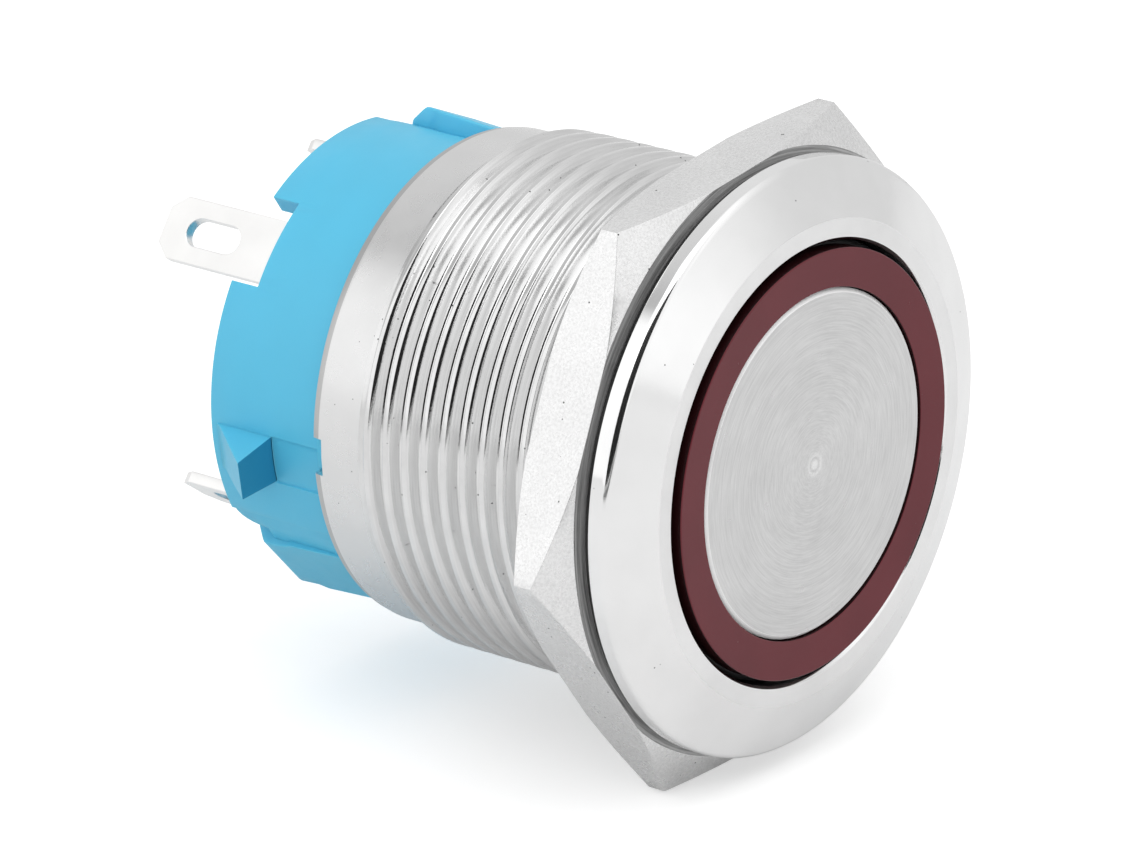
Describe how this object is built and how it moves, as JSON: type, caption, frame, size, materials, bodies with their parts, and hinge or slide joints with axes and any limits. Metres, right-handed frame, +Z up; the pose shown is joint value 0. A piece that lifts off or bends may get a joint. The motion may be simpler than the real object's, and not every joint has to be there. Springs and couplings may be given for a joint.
{
  "type": "pushbutton switch",
  "caption": "Momentary metal panel pushbutton with a round bevelled head, a lit ring round its flat button, a hexagon nut on a fine thread and a blue terminal base.",
  "frame": {"origin": "on the switch's axis, in the plane of the head's underside, which is drawn against the panel", "axes": "+Y along the axis from the button to the terminals, +Z up"},
  "size_m": [0.0286, 0.0298, 0.0266],
  "materials": {
    "barrel_metal": "turned, the head polished",
    "nut_metal": "milled, satin",
    "button_metal": "faced with fine concentric marks",
    "ring_plastic": "translucent, unlit",
    "blue_plastic": "moulded, smooth",
    "white_plastic": "moulded",
    "seal_rubber": "dull",
    "board_laminate": "white solder resist",
    "lamp_resin": "clear yellowish",
    "resistor_black": "ceramic",
    "lug_metal": "silver plated, satin",
    "blade_metal": "rolled strip",
    "contact_silver": "silver rivet",
    "spring_steel": "drawn wire"
  },
  "bodies": {
    "housing": {"barrel": "barrel_metal", "panel_gasket": "seal_rubber", "lamp_board": "board_laminate", "lamp_chips": "lamp_resin", "resistor": "resistor_black", "guide_frame": "white_plastic", "base": "blue_plastic", "base_seal": "seal_rubber", "lug_lamp_plus": "lug_metal", "lug_lamp_minus": "lug_metal", "lug_common": "lug_metal", "lug_closed": "lug_metal", "lug_open": "lug_metal", "closed_contact": "contact_silver", "open_contact": "contact_silver", "return_spring": "spring_steel", "contact_spring": "spring_steel"},
    "actuator": {"button_cap": "button_metal", "light_ring": "ring_plastic", "ring_seal": "seal_rubber", "plunger": "white_plastic"},
    "blade": {"contact_blade": "blade_metal", "blade_contact": "contact_silver"},
    "nut": {"hex_nut": "nut_metal"}
  },
  "joints": [
    {"name": "button_press", "type": "slide", "parent": "housing", "child": "actuator", "axis": [0, 1, 0], "range_m": [0, 0.0025], "stiffness_N_per_m": 800, "springref_m": -0.002, "deforming": ["return_spring", "contact_spring"]},
    {"name": "blade_swing", "type": "hinge", "parent": "housing", "child": "blade", "pos_m": [-0.00304, 0.01465, -0.00434], "axis": [-0.8192, 0, 0.5736], "range_deg": [0, 7.4]},
    {"name": "nut_travel", "type": "slide", "parent": "housing", "child": "nut", "axis": [0, 1, 0], "range_m": [0, 0.0095]}
  ],
  "couplings": [
    {"joint": "blade_swing", "follows": "button_press", "rad_per_m": 51.66}
  ]
}
